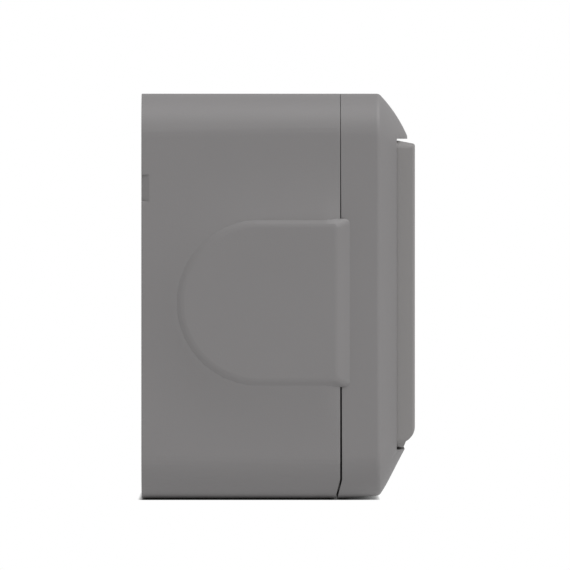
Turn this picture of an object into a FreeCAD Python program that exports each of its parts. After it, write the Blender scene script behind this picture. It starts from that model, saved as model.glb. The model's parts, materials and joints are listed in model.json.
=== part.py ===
import FreeCAD, Part
import math
import os

# Outdoor weatherproof switch for surface mounting. A deep moulded box lies on the wall and
# takes slide-in cable entry inserts at its sides. A hooded cover closes it, and a wide rocker
# in the cover's window works a two-way mechanism that springs back to the middle.
#
# Millimetres, +Z up. The origin is the centre of the flat back face, the rocker faces -Y,
# and every "depth" below is the distance in front of the wall.

# Rear box
FACE_WIDTH = 75.0
FACE_HEIGHT = 75.0
FACE_CORNER_R = 8.0
BOX_DEPTH = 36.8
BOX_WALL = 2.2
BACK_WALL = 2.5
FIXING_SPACING = 60.0
FIXING_HOLE_R = 2.5
FIXING_BOSS_R = 6.0
FIXING_BOSS_HEIGHT = 1.5
FIXING_SEAL_R = 4.2
FIXING_SEAL_HEIGHT = 1.2
REAR_KNOCKOUT_CUT = 1.2
PRISE_NOTCH_DEPTH = 1.45
PRISE_NOTCH_LOW_Z = 17.6
PRISE_NOTCH_LENGTH = 4.9
PRISE_NOTCH_CUT = 0.6

# Cable entry inserts, U-shaped and open towards the cover
ENTRY_R = 15.6
ENTRY_SET = 14.9
ENTRY_Z = -1.2
ENTRY_PROUD = 1.0
ENTRY_LAP = 2.4
ENTRY_COVER_LAP = 1.8
ENTRY_SLOPE = 1.0
ENTRY_CORNER_R = 1.0
ENTRY_BAND_WIDTH = 2.2
ENTRY_SKIN = 1.8
ENTRY_WALL = 2.0
ENTRY_FLANGE = 1.5
ENTRY_SEAL_THICK = 0.8
KNOCKOUT_R = 10.2
KNOCKOUT_GROOVE = 0.8

# Front cover
COVER_WALL = 3.0
PARTING_GAP = 0.08
PARTING_OPEN = 0.3
DRIP_LIP_REACH = 0.9
DRIP_LIP_RISE = 3.6
DRIP_LIP_THICK = 1.0
RIM_SEAL_WIDTH = 0.9
RIM_SEAL_INSET = 0.2
RIM_SEAL_HEIGHT = 1.5
CAVITY_REACH = 5.9
FLOOR_SET = 0.9
FLOOR_THICK = 1.8
WELL_WALL = 1.8
RAIL_WIDTH = 4.2
RAIL_REACH = 10.5
SHOULDER_REACH = 7.2
SHOULDER_R = 1.1
SIDE_SLOPE_RUN = 3.9
HOOD_HEIGHT = 8.36
HOOD_REACH = 12.45
HOOD_TIP_HEIGHT = 0.58
HOOD_CURVE_R = 26.0
HOOD_SECTIONS = 4
CHIN_HEIGHT = 9.05
CHIN_REACH = 12.0
CHIN_HEEL_RISE = 0.45
CHIN_SET = 0.3

# Rocker
ROCKER_TILT = 3.0
ROCKER_SIDE_GAP = 0.3
ROCKER_TOP_GAP = 0.34
ROCKER_FOOT_GAP = 0.45
PIVOT_STAND = 3.5
ROCKER_FRONT_STAND = 7.65
ROCKER_BACK_STAND = -1.0
ROCKER_FACE_WALL = 2.2
ROCKER_SIDE_WALL = 1.6
ROCKER_END_WALL = 1.9
ROCKER_CORNER_R = 1.5
ROCKER_EDGE_R = 0.5
ROCKER_SLOPE_RUN = 2.6
ROCKER_SLOPE_DROP = 0.5
ROCKER_CHIN_R = 3.1
ROCKER_CHIN_TURN = 62.5
ROCKER_FOOT_SET = 2.1
ROCKER_FOOT_HEIGHT = 3.85
RIB_THICK = 1.2
RIB_HEIGHT = 3.8
RIB_X = 12.0
TRUNNION_R = 1.5
TRUNNION_LENGTH = 1.9
TRUNNION_EAR_R = 2.6
STEM_R = 4.0
FORK_REACH = 9.0
FORK_WIDTH = 5.0
FORK_TINE = 1.8
FORK_TIP_BACK = 0.6
FORK_ROOT = 1.4

# Stem seal in the cover's floor
STEM_SEAL_GAP = 0.4
STEM_SEAL_LIP = 0.6
STEM_SEAL_NECK = 1.1
STEM_SEAL_FLANGE = 1.5
STEM_SEAL_FLANGE_THICK = 0.8

# Cover screws under the rocker
COVER_SCREW_INSET = 4.9
COVER_SCREW_R = 1.75
COVER_SCREW_HEAD_R = 3.6
COVER_SCREW_HEAD = 2.0
COVER_SCREW_BITE = 12.0
COVER_POST_R = 3.8
SCREW_SEAL_THICK = 0.8

# Support frame
FRAME_THICK = 1.2
FRAME_POST_GAP = 0.7
FRAME_WINDOW = 30.0
FRAME_FIX_INSET = 7.8
FRAME_EAR = 3.5
FRAME_CORNER_R = 3.0
FRAME_BOSS_R = 4.0
FRAME_SCREW_R = 1.6
FRAME_SCREW_HEAD_R = 3.0
FRAME_SCREW_HEAD = 1.8
FRAME_SCREW_BITE = 8.0

# Mechanism housing
BASE_SIZE = 36.0
BASE_WALL = 2.0
BASE_DEPTH = 15.0
BASE_FLOOR = 2.0
BASE_CORNER_R = 2.0
CAP_SIZE = 34.0
CAP_THICK = 2.0
CAP_SET = 0.8
CAP_WINDOW_FIT = 0.2
CAP_OPENING = 9.0
CAP_EAR_THICK = 2.8
CAP_EAR_R = 2.8
CAP_SCREW_X = 13.0
CAP_SCREW_R = 1.0
CAP_SCREW_HEAD_R = 2.0
CAP_SCREW_HEAD = 1.4
CAP_SCREW_BITE = 7.0
CAP_POST_R = 2.2
CAM_SLOPE = 10.0
CAM_WIDTH = 5.6
CAM_HEIGHT = 8.0
CAM_GAP = 0.3

# Contact lever and its sprung plunger
LEVER_CRANK = 3.0
LEVER_PIN_R = 1.0
LEVER_NECK = 1.4
LEVER_HUB_R = 2.1
LEVER_HUB_WIDTH = 7.2
LEVER_AXLE_R = 1.2
LEVER_TAIL_R = 3.0
LEVER_TAIL_LENGTH = 11.5
LEVER_TAIL_ROOT = 1.0
PLUNGER_R = 1.8
PLUNGER_SEAT = 8.5
PLUNGER_TIP = 14.5
SPRING_ROOM = 4.5
SPRING_WIRE_R = 0.25
SPRING_COIL_R = 1.3
SPRING_TURNS = 4

# Contacts
BLADE_THICK = 1.0
BLADE_WIDTH = 2.4
BLADE_EYE_R = 2.0
TAB_ARM = 9.5
TAB_LENGTH = 4.0
TAB_WIDTH = 4.0
TAB_THICK = 1.2
TIP_R = 1.5
TIP_HEIGHT = 0.8
CONTACT_GAP = 0.1
STRIP_THICK = 0.8
COMMON_WIDTH = 4.0
COMMON_EYE_R = 2.4

# Screw terminals
CLAMP_WIDTH = 6.6
CLAMP_LENGTH = 6.5
CLAMP_DEPTH = 8.0
CLAMP_OUT = 12.0
WIRE_HOLE_R = 2.0
WIRE_HOLE_RISE = 2.8
TERMINAL_SCREW_R = 1.5
TERMINAL_HEAD_R = 2.0
TERMINAL_HEAD = 1.5
TERMINAL_HEAD_STAND = 1.2
DRIVER_HOLE_R = 2.6

# Fits and cutting room
SLIDE_FIT = 0.1
PIVOT_FIT = 0.05
PIN_FIT = 0.1
LEVER_SIDE_GAP = 0.4
CLAMP_GAP = 0.2
SCREW_FIT = 0.05
SCREW_POINT = 0.6
CUT_ROOM = 1.0
SAME_PLACE = 0.001

# Depths and places that follow from the sizes above
HALF_WIDTH = FACE_WIDTH / 2
HALF_HEIGHT = FACE_HEIGHT / 2
COVER_BACK = BOX_DEPTH + PARTING_GAP
FLOOR_BACK = BOX_DEPTH + FLOOR_SET
FLOOR_FRONT = FLOOR_BACK + FLOOR_THICK
SHOULDER_DEPTH = BOX_DEPTH + SHOULDER_REACH
RAIL_DEPTH = BOX_DEPTH + RAIL_REACH
HOOD_DEPTH = BOX_DEPTH + HOOD_REACH
PIVOT_DEPTH = FLOOR_FRONT + PIVOT_STAND
ROCKER_FRONT = PIVOT_DEPTH + ROCKER_FRONT_STAND
ROCKER_BACK = PIVOT_DEPTH + ROCKER_BACK_STAND
ROCKER_INNER_FRONT = ROCKER_FRONT - ROCKER_FACE_WALL
WINDOW_HALF = HALF_WIDTH - RAIL_WIDTH
WINDOW_TOP = HALF_HEIGHT - HOOD_HEIGHT
WINDOW_FOOT = CHIN_HEIGHT - HALF_HEIGHT
ROCKER_HALF = WINDOW_HALF - ROCKER_SIDE_GAP
ROCKER_TOP = WINDOW_TOP - ROCKER_TOP_GAP
ROCKER_FOOT = WINDOW_FOOT + ROCKER_FOOT_GAP
ROCKER_INNER_HALF = ROCKER_HALF - ROCKER_SIDE_WALL
ROCKER_INNER_TOP = ROCKER_TOP - ROCKER_END_WALL
ROCKER_INNER_FOOT = ROCKER_FOOT + ROCKER_END_WALL
COVER_SCREW_X = ROCKER_INNER_HALF - COVER_SCREW_INSET
COVER_SCREW_Z = min(ROCKER_INNER_TOP, -ROCKER_INNER_FOOT) - COVER_SCREW_INSET
COVER_SCREW_SEAT = FLOOR_FRONT + SCREW_SEAL_THICK
SEAL_INSET = DRIP_LIP_THICK + RIM_SEAL_INSET
SEAL_FRONT = BOX_DEPTH + RIM_SEAL_HEIGHT
ENTRY_DEPTH = BOX_DEPTH - ENTRY_SET
ENTRY_CUT_R = ENTRY_R - ENTRY_LAP
ENTRY_INNER_X = HALF_WIDTH - BOX_WALL - ENTRY_SEAL_THICK
LEVER_DEPTH = PIVOT_DEPTH - FORK_REACH - LEVER_CRANK
LEVER_TILT = ROCKER_TILT * FORK_REACH / LEVER_CRANK
PIN_DEPTH = LEVER_DEPTH + LEVER_CRANK
HUB_HALF = LEVER_HUB_WIDTH / 2
CAP_FRONT = LEVER_DEPTH - CAP_SET
FRAME_FRONT = CAP_FRONT - CAP_THICK
FRAME_BACK = FRAME_FRONT - FRAME_THICK
FRAME_HALF = COVER_SCREW_X - COVER_POST_R - FRAME_POST_GAP
FRAME_FIX_Z = HALF_HEIGHT - BOX_WALL - FRAME_FIX_INSET
BASE_BACK = FRAME_BACK - BASE_DEPTH
BASE_INSIDE = BASE_BACK + BASE_FLOOR
CAP_EAR_X = HUB_HALF + BLADE_THICK + LEVER_SIDE_GAP
COMMON_X = CAP_EAR_X + CAP_EAR_THICK + LEVER_SIDE_GAP
TAB_X = HUB_HALF + TAB_WIDTH / 2
TAB_DEPTH = LEVER_DEPTH - TAB_ARM
TIP_FACE = TAB_THICK / 2 + TIP_HEIGHT
LEVER_SINE = math.sin(math.radians(LEVER_TILT))
LEVER_COSINE = math.cos(math.radians(LEVER_TILT))
FIXED_FACE_Z = (TAB_ARM + TIP_R) * LEVER_SINE + TIP_FACE * LEVER_COSINE + CONTACT_GAP
STRIP_Z = FIXED_FACE_Z + TIP_HEIGHT
CLAMP_BACK = BASE_INSIDE + STRIP_THICK
CLAMP_FRONT = CLAMP_BACK + CLAMP_DEPTH
WIRE_DEPTH = CLAMP_BACK + WIRE_HOLE_RISE
COMMON_CLAMP_X = -(COMMON_X + STRIP_THICK + CLAMP_GAP + CLAMP_LENGTH / 2)


def point(depth, z, x=0.0):
    return FreeCAD.Vector(x, -depth, z)


def block(x0, x1, depth0, depth1, z0, z1):
    return Part.makeBox(x1 - x0, depth1 - depth0, z1 - z0, point(depth1, z0, x0))


def rod_out(x, z, radius, depth0, depth1):
    return Part.makeCylinder(radius, depth1 - depth0, point(depth0, z, x), FreeCAD.Vector(0, -1, 0))


def rod_across(depth, z, radius, x0, x1):
    return Part.makeCylinder(radius, x1 - x0, point(depth, z, x0), FreeCAD.Vector(1, 0, 0))


def rod_up(x, depth, radius, z0, z1):
    return Part.makeCylinder(radius, z1 - z0, point(depth, z0, x), FreeCAD.Vector(0, 0, 1))


def edges_along(solid, axis):
    """Straight edges of a solid that run along one axis: 'x', 'y' or 'z'."""
    found = []
    for edge in solid.Edges:
        if isinstance(edge.Curve, Part.Line):
            direction = edge.tangentAt(edge.FirstParameter)
            if abs(getattr(direction, axis)) > 1 - SAME_PLACE:
                found.append(edge)
    return found


def edges_on(solid, axis, value):
    """Edges of a solid that lie wholly in the plane where one coordinate has a value."""
    found = []
    for edge in solid.Edges:
        box = edge.BoundBox
        low = getattr(box, axis + "Min")
        high = getattr(box, axis + "Max")
        if max(abs(low - value), abs(high - value)) < SAME_PLACE:
            found.append(edge)
    return found


def rounded_prism(x0, x1, z0, z1, radius, depth0, depth1):
    """Bar along the depth with a round-cornered rectangular section."""
    solid = block(x0, x1, depth0, depth1, z0, z1)
    return solid.makeFillet(radius, edges_along(solid, "y"))


def face_prism(inset, depth0, depth1):
    """Bar with the outline of the switch's face, smaller all round by an inset."""
    half_x = HALF_WIDTH - inset
    half_z = HALF_HEIGHT - inset
    return rounded_prism(-half_x, half_x, -half_z, half_z, FACE_CORNER_R - inset, depth0, depth1)


def face_ring(inset, width, depth0, depth1):
    return face_prism(inset, depth0, depth1).cut(
        face_prism(inset + width, depth0 - CUT_ROOM, depth1 + CUT_ROOM))


def bulge(start, end, radius):
    """Point at the middle of an arc of a given radius that bows to the right of start-end."""
    chord = end.sub(start)
    half = chord.Length / 2
    rise = radius - math.sqrt(radius * radius - half * half)
    across = chord.cross(FreeCAD.Vector(1, 0, 0)).normalize()
    return start.add(end).multiply(0.5).add(across.multiply(rise))


def side_prism(path, x0, x1):
    """Bar across the width. The path holds (depth, z) corners, and a third number in an
    entry makes the side that ends there an arc of that radius."""
    start = point(path[0][0], path[0][1], x0)
    edges = []
    here = start
    for entry in path[1:] + [path[0][:2]]:
        there = point(entry[0], entry[1], x0)
        if len(entry) == 3:
            edges.append(Part.Arc(here, bulge(here, there, entry[2]), there).toShape())
        else:
            edges.append(Part.LineSegment(here, there).toShape())
        here = there
    return Part.Face(Part.Wire(edges)).extrude(FreeCAD.Vector(x1 - x0, 0, 0))


def plan_prism(corners, z0, z1):
    """Upright bar whose section is a polygon of (x, depth) corners."""
    loop = [point(depth, z0, x) for x, depth in corners]
    return Part.Face(Part.makePolygon(loop + loop[:1])).extrude(FreeCAD.Vector(0, 0, z1 - z0))


def both_sides(solid):
    """The solid and its mirror image on the other side of the switch."""
    return [solid, mirrored(solid)]


def mirrored(solid):
    return solid.mirror(FreeCAD.Vector(0, 0, 0), FreeCAD.Vector(1, 0, 0))


def turned(x, z, outline):
    """Body turned about a line along the depth. The outline holds (radius, depth) corners."""
    loop = [point(depth, z, x + radius) for radius, depth in outline]
    section = Part.Face(Part.makePolygon(loop + loop[:1]))
    return section.revolve(point(0, z, x), FreeCAD.Vector(0, 1, 0), 360)


def pan_screw(x, z, seat, head, head_r, shank_r, bite):
    """Screw with a low pan head whose underside is at the seat and whose tip points at the wall."""
    crown = head / 2
    return turned(x, z, [
        (0, seat - bite),
        (shank_r * SCREW_POINT, seat - bite),
        (shank_r, seat - bite + shank_r),
        (shank_r, seat),
        (head_r, seat),
        (head_r, seat + crown),
        (head_r - crown, seat + head),
        (0, seat + head)])


def corner_places(x, z):
    return [(sx * x, sz * z) for sx in (-1, 1) for sz in (-1, 1)]


def fixing_places():
    return [(-FIXING_SPACING / 2, 0), (FIXING_SPACING / 2, 0)]


def frame_places():
    return [(0, -FRAME_FIX_Z), (0, FRAME_FIX_Z)]


def cap_screw_places():
    return [(CAP_SCREW_X, -CAP_SCREW_X), (-CAP_SCREW_X, CAP_SCREW_X)]


def terminal_places():
    return [(TAB_X, CLAMP_OUT), (TAB_X, -CLAMP_OUT), (COMMON_CLAMP_X, 0)]


def entry_outline(radius, x0, x1, front):
    """U-shaped bar across the side wall, round towards the wall and open to the front."""
    low = ENTRY_Z - radius
    high = ENTRY_Z + radius
    bend = rod_across(ENTRY_DEPTH, ENTRY_Z, radius, x0, x1).common(
        block(x0, x1, ENTRY_DEPTH - radius, ENTRY_DEPTH, low, high))
    legs = block(x0, x1, ENTRY_DEPTH, front, low, high)
    return bend.fuse(legs).removeSplitter()


def entry_loop(radius, x, front):
    """Outline of the insert's outer plate, with rounded corners at the front."""
    half_turn = math.sqrt(0.5) * ENTRY_CORNER_R
    bend = point(ENTRY_DEPTH - radius, ENTRY_Z, x)
    corner_depth = front - ENTRY_CORNER_R
    starts = []
    edges = []
    for side in (1, -1):
        leg = point(ENTRY_DEPTH, ENTRY_Z + side * radius, x)
        corner_z = ENTRY_Z + side * (radius - ENTRY_CORNER_R)
        turn = Part.Arc(
            point(corner_depth, ENTRY_Z + side * radius, x),
            point(corner_depth + half_turn, corner_z + side * half_turn, x),
            point(front, corner_z, x))
        edges += [Part.LineSegment(leg, turn.StartPoint).toShape(), turn.toShape()]
        starts.append((leg, turn.EndPoint))
    (top_leg, top_end), (low_leg, low_end) = starts
    edges += [Part.LineSegment(top_end, low_end).toShape(), Part.Arc(low_leg, bend, top_leg).toShape()]
    return Part.Wire(Part.sortEdges(edges)[0])


def drip_rebate(depth, thick):
    """Sloping ring along the lower edge, where the cover's lip hangs over the box."""
    low = -HALF_HEIGHT
    wedge = side_prism([
        (depth, low + DRIP_LIP_RISE),
        (depth - DRIP_LIP_REACH, low),
        (depth, low)], -HALF_WIDTH, HALF_WIDTH)
    return wedge.common(face_ring(0, thick, depth - 2 * DRIP_LIP_REACH, depth))


def rear_box():
    shell = face_prism(0, 0, BOX_DEPTH).cut(face_prism(BOX_WALL, BACK_WALL, BOX_DEPTH + CUT_ROOM))

    root = BACK_WALL / 2
    solids = []
    holes = []
    for x, z in corner_places(COVER_SCREW_X, COVER_SCREW_Z):
        solids.append(rod_out(x, z, COVER_POST_R, root, FLOOR_BACK))
        bottom = COVER_SCREW_SEAT - COVER_SCREW_BITE - CUT_ROOM
        holes.append(rod_out(x, z, COVER_SCREW_R + SCREW_FIT, bottom, FLOOR_BACK + CUT_ROOM))
    for x, z in frame_places():
        solids.append(rod_out(x, z, FRAME_BOSS_R, root, FRAME_BACK))
        bottom = FRAME_FRONT - FRAME_SCREW_BITE - CUT_ROOM
        holes.append(rod_out(x, z, FRAME_SCREW_R + SCREW_FIT, bottom, FRAME_BACK + CUT_ROOM))
    for x, z in fixing_places():
        boss_top = BACK_WALL + FIXING_BOSS_HEIGHT
        solids.append(rod_out(x, z, FIXING_BOSS_R, root, boss_top))
        holes.append(rod_out(x, z, FIXING_HOLE_R, -CUT_ROOM, boss_top + CUT_ROOM))
        holes.append(rod_out(x, z, FIXING_SEAL_R, boss_top - FIXING_SEAL_HEIGHT, boss_top + CUT_ROOM))

    rear_groove = rod_out(0, 0, KNOCKOUT_R, -CUT_ROOM, REAR_KNOCKOUT_CUT)
    rear_core = rod_out(0, 0, KNOCKOUT_R - KNOCKOUT_GROOVE, -CUT_ROOM, REAR_KNOCKOUT_CUT)
    holes.append(rear_groove.cut(rear_core))
    holes += both_sides(
        entry_outline(ENTRY_CUT_R, ENTRY_INNER_X, HALF_WIDTH + CUT_ROOM, BOX_DEPTH + CUT_ROOM))
    holes += both_sides(plan_prism([
        (HALF_WIDTH - PRISE_NOTCH_CUT, 0),
        (HALF_WIDTH, PRISE_NOTCH_DEPTH),
        (HALF_WIDTH + CUT_ROOM, PRISE_NOTCH_DEPTH),
        (HALF_WIDTH + CUT_ROOM, 0)], PRISE_NOTCH_LOW_Z, PRISE_NOTCH_LOW_Z + PRISE_NOTCH_LENGTH))
    holes.append(drip_rebate(BOX_DEPTH, DRIP_LIP_THICK + SLIDE_FIT))
    return shell.fuse(solids).cut(holes).removeSplitter()


def entry_insert():
    """Right-hand insert: outer plate, neck through the wall and inner flange, hollow behind."""
    outer_x = HALF_WIDTH + ENTRY_PROUD
    front = BOX_DEPTH + ENTRY_COVER_LAP
    plate = Part.makeLoft([
        entry_loop(ENTRY_R, HALF_WIDTH, front),
        entry_loop(ENTRY_R - ENTRY_SLOPE, outer_x, front - ENTRY_BAND_WIDTH)], True, True)

    neck_r = ENTRY_CUT_R - SLIDE_FIT
    flange_x = ENTRY_INNER_X - ENTRY_FLANGE
    neck = entry_outline(neck_r, flange_x, HALF_WIDTH, BOX_DEPTH)
    flange_r = (ENTRY_R + ENTRY_CUT_R) / 2
    flange = entry_outline(flange_r, flange_x, ENTRY_INNER_X, BOX_DEPTH)
    pocket_x = outer_x - ENTRY_SKIN
    pocket = entry_outline(neck_r - ENTRY_WALL, flange_x - CUT_ROOM, pocket_x, BOX_DEPTH - ENTRY_WALL)
    groove = rod_across(ENTRY_DEPTH, ENTRY_Z, KNOCKOUT_R, pocket_x, pocket_x + KNOCKOUT_GROOVE)
    core = rod_across(ENTRY_DEPTH, ENTRY_Z, KNOCKOUT_R - KNOCKOUT_GROOVE, pocket_x, outer_x)
    return plate.fuse([neck, flange]).cut([pocket, groove.cut(core)]).removeSplitter()


def entry_seal():
    """Flat U gasket between the insert's inner flange and the box wall, right-hand side."""
    outer_r = (ENTRY_R + ENTRY_CUT_R) / 2
    wall_x = HALF_WIDTH - BOX_WALL
    sheet = entry_outline(outer_r, ENTRY_INNER_X, wall_x, BOX_DEPTH)
    hole = entry_outline(ENTRY_CUT_R, ENTRY_INNER_X - CUT_ROOM, wall_x + CUT_ROOM, BOX_DEPTH + CUT_ROOM)
    return sheet.cut(hole)


def rim_seal():
    return face_ring(SEAL_INSET, RIM_SEAL_WIDTH, BOX_DEPTH, SEAL_FRONT)


def fixing_seals():
    top = BACK_WALL + FIXING_BOSS_HEIGHT
    rings = []
    for x, z in fixing_places():
        ring = rod_out(x, z, FIXING_SEAL_R, top - FIXING_SEAL_HEIGHT, top)
        rings.append(ring.cut(rod_out(x, z, FIXING_HOLE_R, 0, top + CUT_ROOM)))
    return Part.makeCompound(rings)


def face_loop(depth, half, foot, top, radius):
    """Round-cornered outline of the cover at one depth."""
    corners = [
        (half - radius, top - radius),
        (radius - half, top - radius),
        (radius - half, foot + radius),
        (half - radius, foot + radius)]
    quarter = math.pi / 2
    edges = []
    last = None
    for turn, (x, z) in enumerate(corners):
        ends = []
        for swing in (turn * quarter, (turn + 0.5) * quarter, (turn + 1) * quarter):
            ends.append(point(depth, z + radius * math.sin(swing), x + radius * math.cos(swing)))
        if last:
            edges.append(Part.LineSegment(last, ends[0]).toShape())
        edges.append(Part.Arc(*ends).toShape())
        last = ends[2]
    edges.append(Part.LineSegment(last, edges[0].Vertexes[0].Point).toShape())
    return Part.Wire(Part.sortEdges(edges)[0])


def cover_loop(depth, top):
    """Outline in front of the shoulder: sides and chin slope in, and the hood gives the top."""
    run = depth - SHOULDER_DEPTH
    inset = run * SIDE_SLOPE_RUN / (RAIL_REACH - SHOULDER_REACH)
    chin_slope = (CHIN_HEIGHT - CHIN_HEEL_RISE) / (CHIN_REACH - SHOULDER_REACH - CHIN_SET)
    foot = CHIN_HEEL_RISE + chin_slope * max(0, run - CHIN_SET) - HALF_HEIGHT
    return face_loop(depth, HALF_WIDTH - inset, foot, top, FACE_CORNER_R - inset / 2)


def cover_outside():
    """Straight sides up to the shoulder, then a lofted front with hood, side slopes and chin."""
    shoulder = cover_loop(SHOULDER_DEPTH, HALF_HEIGHT)
    back = face_loop(COVER_BACK, HALF_WIDTH, -HALF_HEIGHT, HALF_HEIGHT, FACE_CORNER_R)
    sides = Part.makeLoft([back, shoulder], True, True)

    start = point(SHOULDER_DEPTH, HALF_HEIGHT)
    tip = point(HOOD_DEPTH, WINDOW_TOP + HOOD_TIP_HEIGHT)
    hood = Part.Arc(start, bulge(start, tip, HOOD_CURVE_R), tip)
    loops = [shoulder]
    for step in range(1, HOOD_SECTIONS + 1):
        share = step / HOOD_SECTIONS
        place = hood.value(hood.FirstParameter + share * (hood.LastParameter - hood.FirstParameter))
        loops.append(cover_loop(-place.y, place.z))
    front = Part.makeLoft(loops, True, False)
    solid = sides.fuse(front)
    solid = solid.makeFillet(SHOULDER_R, edges_on(solid, "Y", -SHOULDER_DEPTH))
    above_rails = block(-HALF_WIDTH, HALF_WIDTH, RAIL_DEPTH, HOOD_DEPTH + CUT_ROOM, WINDOW_FOOT, WINDOW_TOP)
    return solid.cut(above_rails)


def front_cover():
    """Hooded cover with the rocker's window. Its gap to the box opens towards the foot, for drainage."""
    outside = cover_outside()
    cavity = face_prism(COVER_WALL, COVER_BACK - CUT_ROOM, COVER_BACK + CAVITY_REACH)
    well = rounded_prism(
        -HALF_WIDTH, HALF_WIDTH, WINDOW_FOOT - WELL_WALL, WINDOW_TOP + WELL_WALL,
        ROCKER_CORNER_R, FLOOR_BACK, COVER_BACK + CAVITY_REACH + CUT_ROOM)
    drain = side_prism([
        (COVER_BACK, HALF_HEIGHT),
        (COVER_BACK + PARTING_OPEN, -HALF_HEIGHT),
        (COVER_BACK - CUT_ROOM, -HALF_HEIGHT)], -HALF_WIDTH, HALF_WIDTH)
    shell = outside.cut([cavity.cut(well), drain])
    shell = shell.fuse(drip_rebate(COVER_BACK + PARTING_OPEN, DRIP_LIP_THICK))

    window_r = ROCKER_CORNER_R + ROCKER_SIDE_GAP
    nose = HOOD_DEPTH + CUT_ROOM
    holes = [
        rounded_prism(-WINDOW_HALF, WINDOW_HALF, WINDOW_FOOT, WINDOW_TOP, window_r, FLOOR_FRONT, nose),
        rod_out(0, 0, STEM_R + STEM_SEAL_GAP + STEM_SEAL_LIP + STEM_SEAL_NECK, COVER_BACK, nose),
        face_ring(SEAL_INSET, RIM_SEAL_WIDTH, COVER_BACK - 2 * DRIP_LIP_REACH, SEAL_FRONT)]
    for x, z in corner_places(COVER_SCREW_X, COVER_SCREW_Z):
        holes.append(rod_out(x, z, COVER_SCREW_R + SLIDE_FIT, COVER_BACK, nose))
    socket_end = WINDOW_HALF + TRUNNION_LENGTH + SLIDE_FIT
    holes.append(rod_across(PIVOT_DEPTH, 0, TRUNNION_R + PIVOT_FIT, -socket_end, socket_end))
    return shell.cut(holes).removeSplitter()


def stem_seal():
    """Grommet in the cover's floor with a lip that runs close round the rocker's stem."""
    lip_r = STEM_R + STEM_SEAL_GAP
    bore_r = lip_r + STEM_SEAL_LIP
    neck_r = bore_r + STEM_SEAL_NECK
    flange_r = neck_r + STEM_SEAL_FLANGE
    lip_back = FLOOR_BACK + FLOOR_THICK / 3
    lip_front = FLOOR_FRONT - FLOOR_THICK / 3
    return turned(0, 0, [
        (bore_r, FLOOR_BACK - STEM_SEAL_FLANGE_THICK),
        (flange_r, FLOOR_BACK - STEM_SEAL_FLANGE_THICK),
        (flange_r, FLOOR_BACK),
        (neck_r, FLOOR_BACK),
        (neck_r, FLOOR_FRONT),
        (flange_r, FLOOR_FRONT),
        (flange_r, FLOOR_FRONT + STEM_SEAL_FLANGE_THICK),
        (bore_r, FLOOR_FRONT + STEM_SEAL_FLANGE_THICK),
        (bore_r, lip_front),
        (lip_r, lip_front),
        (lip_r, lip_back),
        (bore_r, lip_back)])


def cover_screws():
    return Part.makeCompound([
        pan_screw(x, z, COVER_SCREW_SEAT, COVER_SCREW_HEAD, COVER_SCREW_HEAD_R, COVER_SCREW_R,
                  COVER_SCREW_BITE)
        for x, z in corner_places(COVER_SCREW_X, COVER_SCREW_Z)])


def cover_screw_seals():
    hole_r = COVER_SCREW_R + SCREW_FIT
    return Part.makeCompound([
        rod_out(x, z, COVER_SCREW_HEAD_R, FLOOR_FRONT, COVER_SCREW_SEAT).cut(
            rod_out(x, z, hole_r, FLOOR_BACK, COVER_SCREW_SEAT + CUT_ROOM))
        for x, z in corner_places(COVER_SCREW_X, COVER_SCREW_Z)])


def rocker_outside():
    """Side outline of the rocker, trimmed to its round-cornered face and eased front edges."""
    slope_back = ROCKER_FRONT - ROCKER_EDGE_R - ROCKER_SLOPE_RUN
    face_top = ROCKER_TOP - ROCKER_SLOPE_DROP
    turn = math.radians(ROCKER_CHIN_TURN)
    chin_z = ROCKER_FOOT + ROCKER_FOOT_HEIGHT
    chin_end = ROCKER_FRONT - ROCKER_CHIN_R * (1 - math.cos(turn))
    chin_end_z = chin_z - ROCKER_CHIN_R * math.sin(turn)
    outline = side_prism([
        (ROCKER_BACK, ROCKER_FOOT),
        (ROCKER_BACK, ROCKER_TOP),
        (slope_back, ROCKER_TOP),
        (ROCKER_FRONT - ROCKER_EDGE_R, face_top),
        (ROCKER_FRONT, face_top - ROCKER_EDGE_R, ROCKER_EDGE_R),
        (ROCKER_FRONT, chin_z),
        (chin_end, chin_end_z, ROCKER_CHIN_R),
        (ROCKER_FRONT - ROCKER_FOOT_SET, ROCKER_FOOT)], -ROCKER_HALF, ROCKER_HALF)
    face = rounded_prism(-ROCKER_HALF, ROCKER_HALF, ROCKER_FOOT, ROCKER_TOP, ROCKER_CORNER_R,
                         ROCKER_BACK, ROCKER_FRONT)
    eased = block(-ROCKER_HALF, ROCKER_HALF, ROCKER_BACK, ROCKER_FRONT, ROCKER_FOOT, ROCKER_TOP)
    front_sides = [
        e for e in edges_along(eased, "z") if abs(e.CenterOfMass.y + ROCKER_FRONT) < SAME_PLACE]
    eased = eased.makeFillet(ROCKER_EDGE_R, front_sides)
    return outline.common(face).common(eased)


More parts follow.
